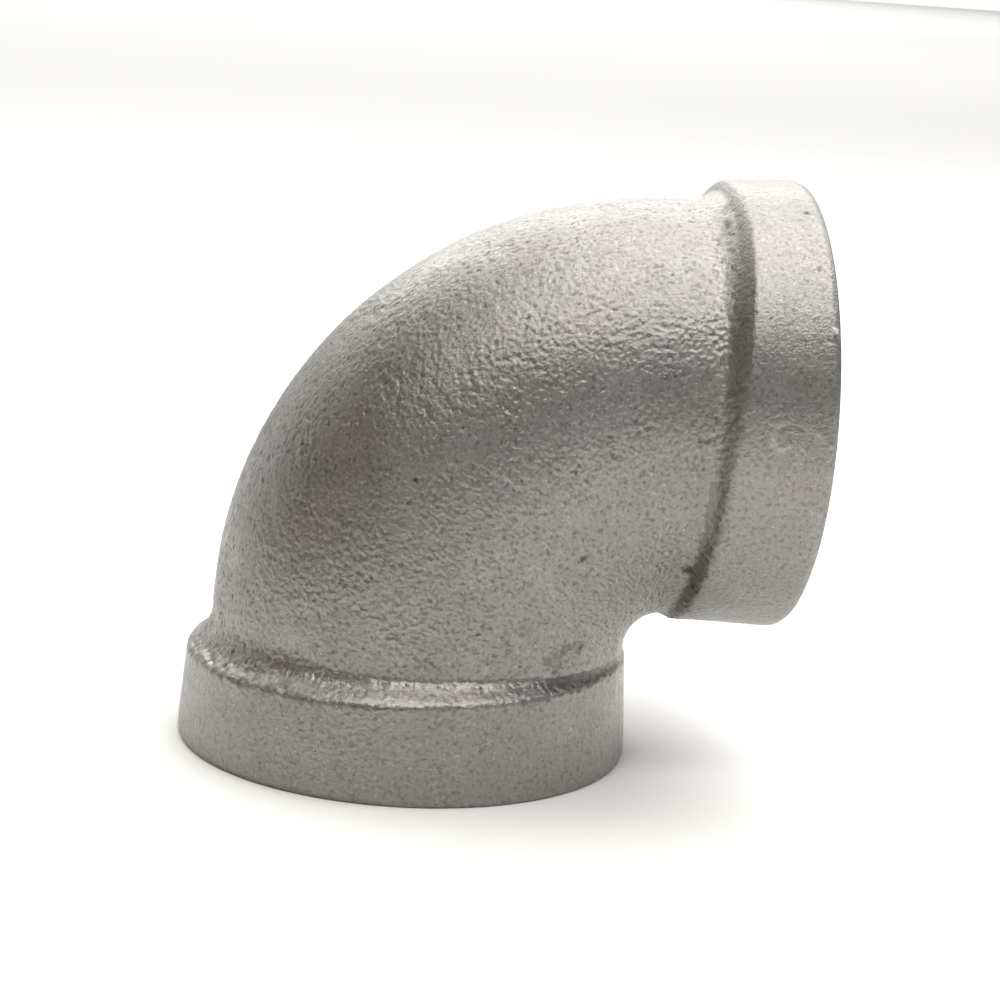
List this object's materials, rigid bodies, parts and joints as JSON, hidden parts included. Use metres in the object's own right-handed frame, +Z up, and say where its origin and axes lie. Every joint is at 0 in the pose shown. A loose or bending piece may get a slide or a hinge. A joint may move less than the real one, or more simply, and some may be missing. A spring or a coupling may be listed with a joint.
{
  "type": "pipe elbow",
  "caption": "Banded 90 degree galvanised cast-iron pipe elbow with a female pipe thread in each end.",
  "frame": {"origin": "centre of the lower end's machined face, which the elbow stands on", "axes": "+Z up along the lower end's axis, +X out along the side end's axis, +Y across the bend"},
  "size_m": [0.0801, 0.0616, 0.0795],
  "materials": {
    "machined_iron": "machined",
    "outside_zinc": "hot-dip galvanised, rough as cast",
    "inside_zinc": "hot-dip galvanised, dull"
  },
  "bodies": {
    "root": {"iron_casting": "machined_iron", "outer_zinc_coat": "outside_zinc", "inner_zinc_coat": "inside_zinc"}
  },
  "joints": []
}
